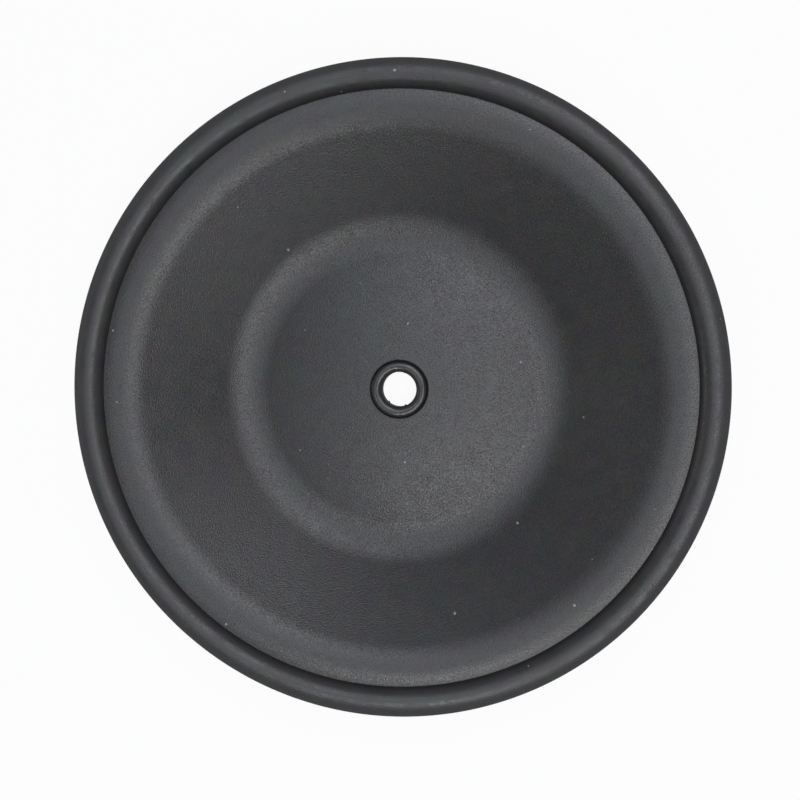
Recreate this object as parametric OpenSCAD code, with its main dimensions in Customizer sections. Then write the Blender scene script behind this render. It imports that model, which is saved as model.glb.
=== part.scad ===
// Moulded rubber diaphragm for an air-operated double-diaphragm pump.
// It is one piece, round about +Z, and rests bowl side up on the underside of its valley at z = 0.

/* [Rim] */
// Diameter over the rim bead
outer_d = 200; // [175:1:240]
// Diameter of the round bead that the pump body clamps
rim_bead_d = 9.5; // [8:0.25:12]
// Level distance from the crest line to the inner side of the bead
flange_w = 2; // [1:0.25:4]
// How far the middle of the bead lies above the middle of the flange
rim_lift = 0.8; // [0:0.1:1.4]

/* [Sheet] */
// Thickness of the moulded sheet
sheet_t = 4; // [3:0.25:5]
// Radius of the upper face over the crest
crest_r = 20.5; // [15:0.5:26]
// Slope of the straight web between crest and valley, in degrees
web_angle = 30; // [22:1:36]
// Diameter of the valley line, the ring that the part rests on
valley_d = 91.5; // [80:0.5:104]
// Radius of the upper face in the valley
valley_r = 20.5; // [14:0.5:26]
// Radius of the upper face of the domed centre disc
disc_r = 260; // [180:10:500]

/* [Hub] */
// Diameter of the centre hole for the shaft stud
hole_d = 11; // [8:0.25:14]
// Diameter of the half-round sealing bead around the hole, on both faces
hub_bead_d = 3.8; // [3:0.1:5]
// How far the hole trims the inner side of that bead
hub_trim = 0.1; // [0.05:0.05:0.5]

/* [Hidden] */
$fn = 180;

// Arcs reach this far past their tangent lines, so that neighbouring faces cross cleanly
arc_lap = 0.002;
// Solids that are cut or trimmed start this far below the resting plane
cut_depth = 2;

// Centres of the arcs in the half section, as radius and height
valley_centre = [valley_d / 2, sheet_t + valley_r + arc_lap];
bead_inner = outer_d / 2 - rim_bead_d;
crest_x = bead_inner - flange_w;
web_run = crest_x - valley_centre.x - (crest_r + valley_r) * sin(web_angle);
web_rise = web_run * tan(web_angle);
crest_z = valley_centre.y + web_rise - (crest_r + valley_r) * cos(web_angle);
crest_centre = [crest_x, crest_z];
disc_z = valley_centre.y - sqrt(pow(disc_r + valley_r, 2) - pow(valley_centre.x, 2));

// The bead's height is taken from the middle of the flange where the two meet
rim_z = crest_z + sqrt(pow(crest_r - sheet_t / 2, 2) - pow(flange_w, 2)) + rim_lift;
rim_centre = [bead_inner + rim_bead_d / 2, rim_z];
// The sheet ends inside the bead
sheet_end = bead_inner + sheet_t / 2;

// The hub beads are centred on the two faces of the disc
hub_x = hole_d / 2 + hub_bead_d / 2 - hub_trim;

// Height of a face of the disc at the hub beads; depth is how far it lies below the upper face
function disc_face(depth) = disc_z + sqrt(pow(disc_r - depth, 2) - pow(hub_x, 2));

// A point on an arc, at an angle from upright that is positive outwards
function on_arc(centre, radius, angle) = centre + radius * [sin(angle), cos(angle)];

// A ring of round section about the axis, with its seam on the axis side
module ring(centre, radius) {
    rotate_extrude()
        translate(centre)
            rotate(180)
                circle(r = radius);
}

// Everything under one face of the sheet; depth is how far that face lies below the upper one.
// A large ball makes the disc, a cone the web and two rings the crest and the valley.
module under_face(depth) {
    toward_disc = atan2(valley_centre.x, valley_centre.y - disc_z);
    disc_edge = on_arc([0, disc_z], disc_r - depth, toward_disc);
    web_foot = on_arc(valley_centre, -(valley_r + depth), -web_angle);
    web_head = on_arc(crest_centre, crest_r - depth, -web_angle);
    floor_z = -cut_depth - depth;
    outside = sheet_end + cut_depth;
    difference() {
        union() {
            translate([0, 0, disc_z])
                sphere(r = disc_r - depth);
            rotate_extrude()
                polygon([
                    [0, floor_z], [0, disc_edge.y], disc_edge, valley_centre,
                    web_foot, web_head, crest_centre, [outside, crest_z], [outside, floor_z]
                ]);
            ring(crest_centre, crest_r - depth + arc_lap);
        }
        ring(valley_centre, valley_r + depth + arc_lap);
    }
}

// The sheet between its two faces, from the axis to inside the rim bead
module sheet() {
    intersection() {
        translate([0, 0, -cut_depth])
            cylinder(r = sheet_end, h = outer_d);
        difference() {
            under_face(0);
            under_face(sheet_t);
        }
    }
}

module diaphragm() {
    color("dimgray")
        difference() {
            union() {
                sheet();
                ring(rim_centre, rim_bead_d / 2);
                for (depth = [0, sheet_t])
                    ring([hub_x, disc_face(depth)], hub_bead_d / 2);
            }
            translate([0, 0, -cut_depth])
                cylinder(d = hole_d, h = outer_d);
        }
}

diaphragm();
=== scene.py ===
# %% [markdown]
# # A moulded rubber pump diaphragm
#
# This lesson dresses one part: the diaphragm of an air-operated pump. It is a single rubber moulding, round about its
# axis, and it lies with its bowl side up. The measured solid comes first and stays in charge of every size. Blender
# then adds what a solid modeller leaves out: soft creases, the marks of the mould, the grain of the rubber and the
# light.

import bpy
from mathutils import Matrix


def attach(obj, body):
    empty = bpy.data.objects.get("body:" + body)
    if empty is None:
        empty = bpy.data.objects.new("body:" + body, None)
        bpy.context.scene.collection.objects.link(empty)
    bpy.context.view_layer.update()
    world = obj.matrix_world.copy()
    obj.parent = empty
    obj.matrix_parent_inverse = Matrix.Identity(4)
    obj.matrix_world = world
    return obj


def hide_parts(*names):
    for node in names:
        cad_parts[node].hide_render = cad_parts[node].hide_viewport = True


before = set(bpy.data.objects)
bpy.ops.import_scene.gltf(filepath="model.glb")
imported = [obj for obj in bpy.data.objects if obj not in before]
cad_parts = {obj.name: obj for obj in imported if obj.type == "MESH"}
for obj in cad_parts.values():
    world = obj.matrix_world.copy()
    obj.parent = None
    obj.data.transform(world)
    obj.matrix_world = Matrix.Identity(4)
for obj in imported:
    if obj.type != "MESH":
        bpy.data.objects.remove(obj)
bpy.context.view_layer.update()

# %% [markdown]
# ## The camera
#
# The part is seen almost straight from above: the camera stands about six degrees off the axis, mostly to the right. A
# circle seen in perspective lands a little off its true centre, and the shift depends on its height, so the rim, the
# crease and the hole together tell where the camera stood. Blender's tracking helpers turn a camera that looks straight
# down in an unwanted way, so the three axes of the camera are worked out here, with +Y up in the picture.

# %% Place the camera
import math
import bpy
from mathutils import Matrix, Vector

MM = 0.001
RIM_HEIGHT = 21.03 * MM
CAMERA_DISTANCE = 347.5 * MM
CAMERA_LEAN = math.radians(5.79)
CAMERA_BEARING = math.radians(21.2)
AIM_POINT = Vector((1.47 * MM, -2.78 * MM, RIM_HEIGHT))
LENS_MM = 51.43
SENSOR_MM = 36


def camera_axes(eye, aim):
    """Columns of the camera's turn: right, up and back, with +Y up in the picture."""
    back = (eye - aim).normalized()
    right = Vector((0, 1, 0)).cross(back).normalized()
    up = back.cross(right)
    return Matrix((right, up, back)).transposed()


lean_out = Vector((math.cos(CAMERA_BEARING), math.sin(CAMERA_BEARING), 0))
eye = Vector((0, 0, RIM_HEIGHT)) + CAMERA_DISTANCE * (
    lean_out * math.sin(CAMERA_LEAN) + Vector((0, 0, math.cos(CAMERA_LEAN)))
)
lens = bpy.data.cameras.new("camera")
lens.lens = LENS_MM
lens.sensor_width = SENSOR_MM
camera = bpy.data.objects.new("camera", lens)
camera.matrix_world = Matrix.Translation(eye) @ camera_axes(eye, AIM_POINT).to_4x4()
bpy.context.scene.collection.objects.link(camera)
bpy.context.scene.camera = camera
print("camera at", tuple(round(x, 4) for x in eye))

# %% [markdown]
# ## The half section
#
# A moulding that is round about an axis is described by one half section: a closed outline of radius and height. It
# could be drawn by hand as a curve, but arcs and straight lines that touch each other are what the mould was turned
# with, and they keep the surface as smooth as the real one. The sizes below are those of the measured part.

# %% Sizes of the moulding
OUTER_R = 100.0 * MM
RIM_BEAD_R = 4.75 * MM
RIM_LIFT = 0.8 * MM
FLANGE_W = 2.0 * MM
SHEET_T = 4.0 * MM
CREST_R = 20.5 * MM
WEB_ANGLE = 30.0
VALLEY_LINE_R = 45.75 * MM
VALLEY_R = 20.5 * MM
DISC_R = 260.0 * MM
HOLE_R = 5.5 * MM
HUB_BEAD_R = 1.9 * MM
HUB_TRIM = 0.1 * MM

web_sin, web_cos = math.sin(math.radians(WEB_ANGLE)), math.cos(math.radians(WEB_ANGLE))
both_r = CREST_R + VALLEY_R
valley = Vector((VALLEY_LINE_R, SHEET_T + VALLEY_R))
bead_inner = OUTER_R - 2 * RIM_BEAD_R
crest_x = bead_inner - FLANGE_W
web_rise = (crest_x - valley.x - both_r * web_sin) * web_sin / web_cos
crest = Vector((crest_x, valley.y + web_rise - both_r * web_cos))
disc = Vector((0, valley.y - math.sqrt((DISC_R + VALLEY_R) ** 2 - valley.x ** 2)))
rim = Vector((bead_inner + RIM_BEAD_R,
              crest.y + math.sqrt((CREST_R - SHEET_T / 2) ** 2 - FLANGE_W ** 2) + RIM_LIFT))
hub_x = HOLE_R + HUB_BEAD_R - HUB_TRIM
hub_top = Vector((hub_x, disc.y + math.sqrt(DISC_R ** 2 - hub_x ** 2)))
hub_low = Vector((hub_x, disc.y + math.sqrt((DISC_R - SHEET_T) ** 2 - hub_x ** 2)))
print(f"rim bead top {(rim.y + RIM_BEAD_R) / MM:.2f} mm, crest {(crest.y + CREST_R) / MM:.2f} mm")

# %% [markdown]
# ## Arcs and creases
#
# Where two surfaces of a rubber moulding meet in an inner corner, the mould leaves a small fillet. A Bevel modifier
# could round the corner after the turning, but the fillet is only one more arc, which touches both neighbours. Its
# centre lies where two larger (or smaller) circles cross. The outline is followed clockwise, so an arc that turns
# right bulges out of the rubber, and an arc that turns left is a hollow.

# %% Arcs and fillets
LEFT, RIGHT = 1, -1
RIM_CREASE_R = 0.12 * MM
HUB_CREASE_R = 0.05 * MM


def true_circle(angle):
    """How far a plain arc departs from round: nowhere."""
    return 0.0


def bearing(start, end):
    """Direction from one point of the section to another, in degrees."""
    return math.degrees(math.atan2(end.y - start.y, end.x - start.x))


def arc(turn, centre, radius, start, end, steps, swell=true_circle):
    """Points along an arc that turns LEFT or RIGHT, both ends included and closer together there."""
    span = turn * ((end - start) * turn % 360)
    angles = [start + span * (1 - math.cos(math.pi * step / steps)) / 2 for step in range(steps + 1)]
    return [centre + (radius + swell(a)) * Vector((math.cos(math.radians(a)), math.sin(math.radians(a))))
            for a in angles]


def circles_meet(one, one_r, two, two_r):
    """Where two circles cross, to the left of the line from the first centre to the second."""
    gap = two - one
    along = (gap.length_squared + one_r ** 2 - two_r ** 2) / (2 * gap.length)
    out = math.sqrt(one_r ** 2 - along ** 2)
    ahead = gap.normalized()
    return one + ahead * along + Vector((-ahead.y, ahead.x)) * out


rim_crease_top = circles_meet(crest, CREST_R + RIM_CREASE_R, rim, RIM_BEAD_R + RIM_CREASE_R)
rim_crease_low = circles_meet(crest, CREST_R - SHEET_T - RIM_CREASE_R, rim, RIM_BEAD_R + RIM_CREASE_R)
hub_crease_top = circles_meet(hub_top, HUB_BEAD_R + HUB_CREASE_R, disc, DISC_R + HUB_CREASE_R)
hub_crease_low = circles_meet(hub_low, HUB_BEAD_R + HUB_CREASE_R, disc, DISC_R - SHEET_T - HUB_CREASE_R)
print(f"creases at {hub_crease_top.x / MM:.2f} mm and {rim_crease_top.x / MM:.2f} mm from the axis")

# %% [markdown]
# ## The beads
#
# The beads that seal the rim and the hole are nearly round. Their highlights lie further apart than on a true circle,
# so their tops are made a little flatter. A circle with a power other than two gives that form: its corners fill out,
# and its width and height stay. On such parts the two halves of the mould usually meet at the outside of the rim bead.
# Rubber that squeezes out there is trimmed off, which leaves a narrow flat with a faint line on it.

# %% Squared beads and the mould line
RIM_FULLNESS = 2.4
HUB_FULLNESS = 2.3
MOULD_LINE_PROUD = 0.08 * MM
MOULD_LINE_HALF_ANGLE = 3.0
TRIMMED_DEPTH = 0.11 * MM
TRIMMED_HALF_ANGLE = 24.0


def squared(angle, fullness):
    """How far a squared bead stands outside its circle, as a share of the radius; a fullness of 2 is a circle."""
    across, up = abs(math.cos(math.radians(angle))), abs(math.sin(math.radians(angle)))
    return (across ** fullness + up ** fullness) ** (-1 / fullness) - 1


def hub_swell(angle):
    """How far the hub bead departs from round."""
    return HUB_BEAD_R * squared(angle, HUB_FULLNESS)


def rim_swell(angle):
    """How far the rim bead departs from round: full outer shoulders, a trimmed flat and the mould line."""
    off = (angle + 180) % 360 - 180
    line = MOULD_LINE_PROUD * math.exp(-(2 * off / MOULD_LINE_HALF_ANGLE) ** 2)
    trimmed = TRIMMED_DEPTH * math.exp(-(2 * off / TRIMMED_HALF_ANGLE) ** 2)
    shoulder = RIM_BEAD_R * squared(off, RIM_FULLNESS) if abs(off) < 90 else 0.0
    return shoulder + line - trimmed


hub_across = (hub_x - HOLE_R) / HUB_BEAD_R
bore_cut = math.degrees(math.atan2((1 - hub_across ** HUB_FULLNESS) ** (1 / HUB_FULLNESS), hub_across))
print(f"past the circle: rim shoulder {rim_swell(45) / MM:.2f} mm, mould line {rim_swell(0) / MM:.2f} mm")
print(f"the bore cuts the hub bead {bore_cut:.1f} degrees from level")

# %% [markdown]
# ## The outline
#
# The outline runs once round the section: up over the hub bead, out along the bowl, over the rim bead, and back along
# the underside to the hole. The web has no points of its own: it is the straight line between valley and crest.

# %% Upper side, from the bore to the rim crease
# Steps along each arc
HUB_STEPS = 22
FILLET_STEPS = 6
DISC_STEPS = 18
VALLEY_STEPS = 20
CREST_STEPS = 24
RIM_FILLET_STEPS = 7

upper_face = (
    arc(RIGHT, hub_top, HUB_BEAD_R, 180 - bore_cut, bearing(hub_top, hub_crease_top), HUB_STEPS, hub_swell)
    + arc(LEFT, hub_crease_top, HUB_CREASE_R,
          bearing(hub_crease_top, hub_top), bearing(hub_crease_top, disc), FILLET_STEPS)[1:]
    + arc(RIGHT, disc, DISC_R, bearing(disc, hub_crease_top), bearing(disc, valley), DISC_STEPS)[1:]
    + arc(LEFT, valley, VALLEY_R, bearing(valley, disc), 270 + WEB_ANGLE, VALLEY_STEPS)[1:]
    + arc(RIGHT, crest, CREST_R, 90 + WEB_ANGLE, bearing(crest, rim_crease_top), CREST_STEPS)
    + arc(LEFT, rim_crease_top, RIM_CREASE_R,
          bearing(rim_crease_top, crest), bearing(rim_crease_top, rim), RIM_FILLET_STEPS)[1:]
)
print("points on the upper side:", len(upper_face))

# %% Round the rim bead
RIM_TOP_STEPS = 36
MOULD_LINE_STEPS = 8
RIM_LOW_STEPS = 34

line_top, line_low = MOULD_LINE_HALF_ANGLE, -MOULD_LINE_HALF_ANGLE
rim_face = (
    arc(RIGHT, rim, RIM_BEAD_R, bearing(rim, rim_crease_top), line_top, RIM_TOP_STEPS, rim_swell)[1:]
    + arc(RIGHT, rim, RIM_BEAD_R, line_top, line_low, MOULD_LINE_STEPS, rim_swell)[1:]
    + arc(RIGHT, rim, RIM_BEAD_R, line_low, bearing(rim, rim_crease_low), RIM_LOW_STEPS, rim_swell)[1:]
)
print("points on the rim bead:", len(rim_face))

# %% Underside, from the rim crease back to the bore
LOW_CREST_STEPS = 20

lower_face = (
    arc(LEFT, rim_crease_low, RIM_CREASE_R,
        bearing(rim_crease_low, rim), bearing(crest, rim_crease_low), FILLET_STEPS)[1:]
    + arc(LEFT, crest, CREST_R - SHEET_T, bearing(crest, rim_crease_low), 90 + WEB_ANGLE, LOW_CREST_STEPS)[1:]
    + arc(RIGHT, valley, VALLEY_R + SHEET_T, 270 + WEB_ANGLE, bearing(valley, disc), VALLEY_STEPS)
    + arc(LEFT, disc, DISC_R - SHEET_T, bearing(disc, valley), bearing(disc, hub_crease_low), DISC_STEPS)[1:]
    + arc(LEFT, hub_crease_low, HUB_CREASE_R,
          bearing(disc, hub_crease_low), bearing(hub_crease_low, hub_low), FILLET_STEPS)[1:]
    + arc(RIGHT, hub_low, HUB_BEAD_R, bearing(hub_low, hub_crease_low), 180 + bore_cut, HUB_STEPS, hub_swell)[1:]
)
outline = upper_face + rim_face + lower_face
print("points on the outline:", len(outline))

# %% [markdown]
# ## Flash in the bore
#
# A moulded hole often keeps thin nibs of rubber where the mould closed on the core pin. They could be separate scraps,
# but they belong to the moulding, so one ring of points near the foot of the bore is drawn in where a nib stands.

# %% The bore and its nibs
BORE_STEPS = 6
# Where a nib stands, in degrees, with how far it reaches into the hole and how wide it is along the wall
NIBS = [(75, 0.34 * MM, 0.30 * MM), (229, 0.40 * MM, 0.36 * MM), (288, 0.36 * MM, 0.30 * MM)]


def nib_reach(angle):
    """How far flash reaches into the hole at this angle."""
    reach = 0.0
    for nib_angle, height, width in NIBS:
        off = HOLE_R * math.radians((angle - nib_angle + 180) % 360 - 180)
        reach += height * math.exp(-(off / width) ** 2)
    return reach


low, high = outline[-1].y, outline[0].y
nib_row, *bore_wall = [Vector((HOLE_R, low + (high - low) * step / BORE_STEPS)) for step in range(1, BORE_STEPS)]
# Each point of the section goes with its share of the nibs
section = [(point, 0.0) for point in outline] + [(nib_row, 1.0)] + [(point, 0.0) for point in bore_wall]
print(f"bore {(high - low) / MM:.2f} mm long, section of {len(section)} points")

# %% [markdown]
# ## Turning the section
#
# Blender's Screw modifier could turn the outline, but the nibs stand at three places only, so the mesh is written
# directly: one copy of the section after the other round the axis, with faces between neighbours.

# %% Turn the moulding
TURN_STEPS = 320


def turned_points(section):
    """Points of the turned section, one copy of the section after the other."""
    points = []
    for turn_step in range(TURN_STEPS):
        angle = 360 * turn_step / TURN_STEPS
        across, along = math.cos(math.radians(angle)), math.sin(math.radians(angle))
        reach = nib_reach(angle)
        for point, nib_share in section:
            radius = point.x - reach * nib_share
            points.append((radius * across, radius * along, point.y))
    return points


def turned_faces(rows):
    """Four-sided faces between each copy of the section and the next, closed both ways."""
    faces = []
    for turn_step in range(TURN_STEPS):
        here, there = turn_step * rows, (turn_step + 1) % TURN_STEPS * rows
        for row in range(rows):
            after = (row + 1) % rows
            faces.append((here + row, here + after, there + after, there + row))
    return faces


mesh = bpy.data.meshes.new("moulding")
mesh.from_pydata(turned_points(section), [], turned_faces(len(section)))
mesh.polygons.foreach_set("use_smooth", [True] * len(mesh.polygons))
mesh.update()
moulding = bpy.data.objects.new("moulding", mesh)
bpy.context.scene.collection.objects.link(moulding)
print("moulding:", len(mesh.polygons), "faces")

# %% [markdown]
# ## Writing materials as sums
#
# A material is a web of nodes, and wiring them one by one hides what the material says. This small class wraps one
# output. Python's own signs then add Math nodes, and one method adds any other node.

# %% A wire that can be added up
class Wire:
    """One value that runs through a material."""

    def __init__(self, tree, socket=None):
        self.tree = tree
        self.socket = socket

    def node(self, kind, settings=None, inputs=None, output=0):
        """Add a node: its settings first, then the values or wires of its sockets."""
        made = self.tree.nodes.new(kind)
        for name, value in (settings or {}).items():
            setattr(made, name, value)
        for name, value in (inputs or {}).items():
            if isinstance(value, Wire):
                self.tree.links.new(value.socket, made.inputs[name])
            else:
                made.inputs[name].default_value = value
        return Wire(self.tree, made.outputs[output] if made.outputs else None)

    def beside(self, output):
        """Another output of the same node."""
        return Wire(self.tree, self.socket.node.outputs[output])

    def math(self, operation, first, second):
        return self.node("ShaderNodeMath", {"operation": operation}, {0: first, 1: second})

    def __add__(self, other):
        return self.math("ADD", self, other)

    def __radd__(self, other):
        return self.math("ADD", other, self)

    def __sub__(self, other):
        return self.math("SUBTRACT", self, other)

    def __rsub__(self, other):
        return self.math("SUBTRACT", other, self)

    def __mul__(self, other):
        return self.math("MULTIPLY", self, other)

    def __rmul__(self, other):
        return self.math("MULTIPLY", other, self)


def fresh_nodes(owner):
    """Empty the nodes of a material or a world, and give a wire to start from."""
    owner.use_nodes = True
    owner.node_tree.nodes.clear()
    return Wire(owner.node_tree)


print("a wire takes the signs + - *")

# %% [markdown]
# ## The rubber: its zones
#
# All of the moulding is the same dark grey rubber, but the mould was not equally smooth everywhere: the sheet is
# grained, the beads are less so, and the bore is dull. Painted masks or several materials would do, but the part is
# round, so the distance from the axis already says which zone a point lies in.

# %% Zones by distance from the axis
rubber = bpy.data.materials.new("moulded_rubber")
wire = fresh_nodes(rubber)
spot = wire.node("ShaderNodeTexCoord", output="Object")
flat_spot = wire.node("ShaderNodeVectorMath", {"operation": "MULTIPLY"}, {0: spot, 1: (1, 1, 0)})
axis_distance = wire.node("ShaderNodeVectorMath", {"operation": "LENGTH"}, {0: flat_spot}, output="Value")


def beyond(start, end):
    """Zero inside the first radius and one outside the second, both in millimetres."""
    return wire.node("ShaderNodeMapRange", {"interpolation_type": "SMOOTHSTEP"},
                     {"Value": axis_distance, "From Min": start * MM, "From Max": end * MM})


in_bore = 1 - beyond(5.6, 6.2)
on_hub_bead = 1 - beyond(8.8, 9.3)
in_hub_crease = beyond(8.2, 8.8) * (1 - beyond(9.3, 9.6))
on_crest = beyond(76.0, 80.0) * (1 - beyond(84.0, 88.0))
past_web = beyond(78.0, 82.0)
in_rim_crease = beyond(90.3, 90.6) * (1 - beyond(90.8, 92.0))
on_rim_bead = beyond(90.4, 91.0)
on_rim_flank = beyond(96.0, 99.0)
on_sheet = beyond(9.0, 9.6) * (1 - on_rim_bead)
print("nodes for the zones:", len(rubber.node_tree.nodes))

# %% [markdown]
# ## The rubber: its grain
#
# The mould gave the sheet a fine grain of less than half a millimetre, stronger in some patches than in others. Real
# geometry would need millions of faces, so two noises make it: a fine one for the grain and a coarse one for the
# patches. It is weaker on the beads and from the crest outwards.

# %% Grain
GRAIN_SIZE = 0.42 * MM
GRAIN_DEPTH = 0.12 * MM
GRAIN_DETAIL = 1.5
GRAIN_EDGE = 0.6
PATCH_SIZE = 5.0 * MM
PATCH_DETAIL = 2.0
NOISE_MIDDLE = 0.5
# Strength of the grain where the patches are weakest, and what they add
WEAK_PATCH = 0.4
PATCH_GAIN = 1.2
# Strength of the grain on the beads, what the sheet adds, what the hub bead loses, and the share that is lost from the
# crest outwards
BEAD_GRAIN = 0.6
SHEET_GAIN = 0.4
HUB_LOSS = 0.35
CREST_LOSS = 0.4


def noise(size, detail, edge=0.5, output=0):
    """Soft random values in lumps of this size."""
    return wire.node("ShaderNodeTexNoise", {"noise_dimensions": "3D"},
                     {"Vector": spot, "Scale": 1 / size, "Detail": detail, "Roughness": edge}, output)


grain = noise(GRAIN_SIZE, GRAIN_DETAIL, GRAIN_EDGE)
patches = noise(PATCH_SIZE, PATCH_DETAIL)
zone_grain = (BEAD_GRAIN + SHEET_GAIN * on_sheet - HUB_LOSS * on_hub_bead) * (1 - CREST_LOSS * past_web)
grip = (grain - NOISE_MIDDLE) * (WEAK_PATCH + PATCH_GAIN * patches) * zone_grain
bump = wire.node("ShaderNodeBump", {}, {"Strength": 1.0, "Distance": GRAIN_DEPTH, "Height": grip})
print(f"grain {GRAIN_SIZE / MM:.2f} mm across in patches of {PATCH_SIZE / MM:.0f} mm")

# %% [markdown]
# ## The rubber: its gloss
#
# The grain sparkles where a lamp is mirrored and nearly disappears in the shade. Bump alone gives too little of that
# at this size, so the same grain also goes into the roughness, with tops that are duller than the pits. Grain in the
# colour would show in the shade too.

# %% Gloss
SHEET_ROUGHNESS = 0.29
GRAIN_IN_GLOSS = 2.0
PATCHES_IN_RIM = 0.4
# How much duller each zone is than the sheet
RIM_BEAD_DULLER = 0.11
RIM_FLANK_DULLER = 0.40
BORE_DULLER = 0.55
HUB_BEAD_DULLER = -0.15
CREST_DULLER = 0.035
HUB_CREASE_DULLER = 0.3

duller = (
    RIM_BEAD_DULLER * on_rim_bead
    + RIM_FLANK_DULLER * on_rim_flank
    + BORE_DULLER * in_bore
    + HUB_BEAD_DULLER * on_hub_bead
    + CREST_DULLER * on_crest
    + HUB_CREASE_DULLER * in_hub_crease
    + PATCHES_IN_RIM * (patches - NOISE_MIDDLE) * on_rim_bead
)
roughness = SHEET_ROUGHNESS + duller + GRAIN_IN_GLOSS * grip
print("roughness of the plain sheet:", SHEET_ROUGHNESS)

# %% [markdown]
# ## The rubber: its colour
#
# Carbon black makes rubber nearly black, and a bloom of wax often turns it grey in faint blotches. A noise could mix
# two colours, but here it only scales one grey up and down. The creases and the bore get painted shade: their grey is
# made darker than the light alone makes them look. Colours go through Vector Math, because a Math node would turn
# them into one value.

# %% Colour
RUBBER_GREY = (0.043, 0.0425, 0.0435)
BLOTCH_SHARE = 0.4
PLAIN_SHARE = 0.8
BLOTCH_DETAIL = 1.0
# Painted shade: how much darker each hollow is painted than the sheet
HUB_CREASE_PAINTED_SHADE = 0.85
RIM_CREASE_PAINTED_SHADE = 0.3
BORE_PAINTED_SHADE = 0.5

blotches = noise(PATCH_SIZE, BLOTCH_DETAIL, output="Color")
# Painted shade: the grey of the hub crease, the rim crease and the bore is scaled down to darken these hollows
painted_shade = 1 - HUB_CREASE_PAINTED_SHADE * in_hub_crease - RIM_CREASE_PAINTED_SHADE * in_rim_crease - BORE_PAINTED_SHADE * in_bore
blotched_grey = wire.node("ShaderNodeVectorMath", {"operation": "MULTIPLY_ADD"},
                          {0: blotches,
                           1: [BLOTCH_SHARE * part for part in RUBBER_GREY],
                           2: [PLAIN_SHARE * part for part in RUBBER_GREY]})
grey = wire.node("ShaderNodeVectorMath", {"operation": "SCALE"}, {0: blotched_grey, "Scale": painted_shade})
print("rubber grey:", RUBBER_GREY)

# %% [markdown]
# ## Dust
#
# A few specks of dust lie on the faces that look up. Scattered grains would be pieces of their own, so the specks are
# part of the colour: a Voronoi pattern gives each cell one point, and its random colour decides how large that speck
# is. About half of the cells get none.

# %% Specks of dust and the finished rubber
DUST_GREY = (0.30, 0.30, 0.31, 1.0)
DUST_SPACING = 18.0 * MM
DUST_SHARE = 0.5
DUST_R = 0.42 * MM
LOOKS_UP = 0.5

from_speck = wire.node("ShaderNodeTexVoronoi", {"voronoi_dimensions": "2D"},
                       {"Vector": flat_spot, "Scale": 1 / DUST_SPACING})
lot = wire.node("ShaderNodeSeparateColor", {}, {"Color": from_speck.beside("Color")})
speck_size = wire.node("ShaderNodeMapRange", {}, {"Value": lot, "From Min": 0.0, "From Max": DUST_SHARE,
                                                  "To Min": DUST_R / DUST_SPACING, "To Max": 0.0})
facing = wire.node("ShaderNodeNewGeometry", output="Normal")
rise = wire.node("ShaderNodeSeparateXYZ", {}, {0: facing}, output="Z")
speck = wire.math("LESS_THAN", from_speck, speck_size) * wire.math("GREATER_THAN", rise, LOOKS_UP)
colour = wire.node("ShaderNodeMix", {"data_type": "RGBA"}, {0: speck, 6: grey, 7: DUST_GREY}, output=2)
shader = wire.node("ShaderNodeBsdfPrincipled", {}, {"Base Color": colour, "Roughness": roughness, "Normal": bump})
wire.node("ShaderNodeOutputMaterial", {}, {"Surface": shader})
moulding.data.materials.append(rubber)
print("finish:", rubber.name, "with", len(rubber.node_tree.nodes), "nodes")

# %% [markdown]
# ## The floor
#
# The part lies on a plain white floor. White paint in plain light renders light grey, and more light would spoil the
# rubber, so for the camera most of the floor's colour is a glow of strength one. The rest is ordinary paint, which
# keeps the soft shadow. Rays off the rubber see part of the glow, too. From below the floor is clear, so that the
# underside can be looked at.

# %% White floor finish
WHITE = (1, 1, 1, 1)
FLOOR_WHITE = (0.92, 0.92, 0.92, 1.0)
FLOOR_GLOW_SHARE = 0.93
FLOOR_IN_GLOSS = 0.4


def seen_white(wire, gloss_share):
    """One for rays that show the background to the camera, also through glass, and a share for rays off gloss."""
    rays = "ShaderNodeLightPath"
    seen = wire.node(rays, output="Is Camera Ray") + wire.node(rays, output="Is Transmission Ray")
    return wire.math("MINIMUM", seen + gloss_share * wire.node(rays, output="Is Glossy Ray"), 1.0)


floor_finish = bpy.data.materials.new("white_floor")
ground = fresh_nodes(floor_finish)
paint = ground.node("ShaderNodeBsdfDiffuse", {}, {"Color": FLOOR_WHITE})
glow = ground.node("ShaderNodeEmission", {}, {"Color": WHITE, "Strength": 1.0})
glow_share = seen_white(ground, FLOOR_IN_GLOSS) * FLOOR_GLOW_SHARE
upper_side = ground.node("ShaderNodeMixShader", {}, {0: glow_share, 1: paint, 2: glow})
from_below = ground.node("ShaderNodeNewGeometry", output="Backfacing")
clear = ground.node("ShaderNodeBsdfTransparent")
one_sided = ground.node("ShaderNodeMixShader", {}, {0: from_below, 1: upper_side, 2: clear})
ground.node("ShaderNodeOutputMaterial", {}, {"Surface": one_sided})
print("floor finish:", floor_finish.name)

# %% Lay the floor
FLOOR_HALF = 3.0

floor_mesh = bpy.data.meshes.new("floor")
floor_mesh.from_pydata([(-FLOOR_HALF, -FLOOR_HALF, 0), (FLOOR_HALF, -FLOOR_HALF, 0),
                        (FLOOR_HALF, FLOOR_HALF, 0), (-FLOOR_HALF, FLOOR_HALF, 0)], [], [(0, 1, 2, 3)])
floor_mesh.materials.append(floor_finish)
floor = bpy.data.objects.new("floor", floor_mesh)
bpy.context.scene.collection.objects.link(floor)
print("floor:", 2 * FLOOR_HALF, "m square")

# %% [markdown]
# ## The room
#
# The room is a faint even light from all sides. Past the edge of the floor the camera sees it as white. The rubber
# mirrors only a little of that white, since a dark part in a bright room would lose its shape.

# %% Room
ROOM_GLOW = 0.05
ROOM_IN_GLOSS = 0.03

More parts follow.
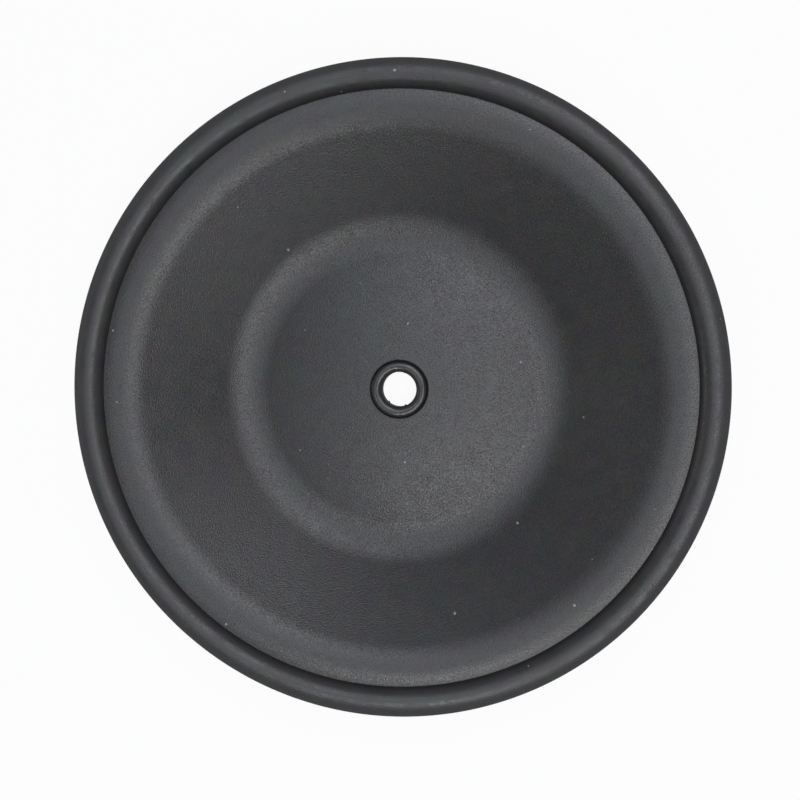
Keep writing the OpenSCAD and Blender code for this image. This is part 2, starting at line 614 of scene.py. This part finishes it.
world = bpy.data.worlds.new("room")
air = fresh_nodes(world)
room_strength = ROOM_GLOW + (1 - ROOM_GLOW) * seen_white(air, ROOM_IN_GLOSS)
room = air.node("ShaderNodeBackground", {}, {"Color": WHITE, "Strength": room_strength})
air.node("ShaderNodeOutputWorld", {}, {"Surface": room})
bpy.context.scene.world = world
print("room glow:", ROOM_GLOW)

# %% [markdown]
# ## Light
#
# Dark rubber shows its form mostly by what it mirrors, so most of the lamps are large and soft. Three stand high
# around the part, two of them to the right and one at the top of the picture, and a smaller one stands at the lower
# left. These four give most of the light. A low lamp at the left reaches the web on the right and hardly anything
# else. The last lamp is small and close, and is mirrored in the lower part of the disc and in the flange and the bead
# below it. Sun lamps could give the same directions, but harder highlights.

# %% Lamps
# Name, bearing and height in degrees, distance and side in metres, glow of the lamp's face, tint
LAMPS = [
    ("right_lamp", 50, 62, 2.3, 1.4, 1.72, (1.06, 1.0, 1.05)),
    ("lower_right_lamp", -50, 67, 2.3, 1.2, 3.4, (1.0, 1.0, 1.01)),
    ("upper_lamp", 92, 71, 2.3, 1.6, 1.55, (0.91, 1.0, 1.12)),
    ("lower_left_lamp", -148, 68, 2.3, 0.8, 1.65, (0.95, 1.0, 1.06)),
    ("left_low_lamp", 177, 8, 2.0, 0.87, 1.45, (1.1, 1.0, 0.98)),
    ("near_lamp", -96, 61, 0.41, 0.081, 6.6, (0.97, 1.0, 1.02)),
]


def soft_lamp(name, around, height, distance, side, face_glow, tint):
    """A square lamp that faces the part; a face glow of one is as bright as white paper in plain light."""
    lamp = bpy.data.lights.new(name, "AREA")
    lamp.color = tint
    lamp.size = side
    lamp.energy = face_glow * math.pi * side ** 2
    across = math.cos(math.radians(height))
    stand = distance * Vector((across * math.cos(math.radians(around)),
                               across * math.sin(math.radians(around)),
                               math.sin(math.radians(height))))
    lamp_object = bpy.data.objects.new(name, lamp)
    lamp_object.matrix_world = Matrix.Translation(stand) @ stand.to_track_quat("Z", "Y").to_matrix().to_4x4()
    lamp_object.visible_camera = False
    bpy.context.scene.collection.objects.link(lamp_object)


for lamp_sizes in LAMPS:
    soft_lamp(*lamp_sizes)
print("lamps:", len(bpy.data.lights))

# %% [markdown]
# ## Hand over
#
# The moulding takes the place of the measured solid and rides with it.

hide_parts("diaphragm")
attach(moulding, "root")

bpy.context.scene.view_settings.view_transform = "Standard"
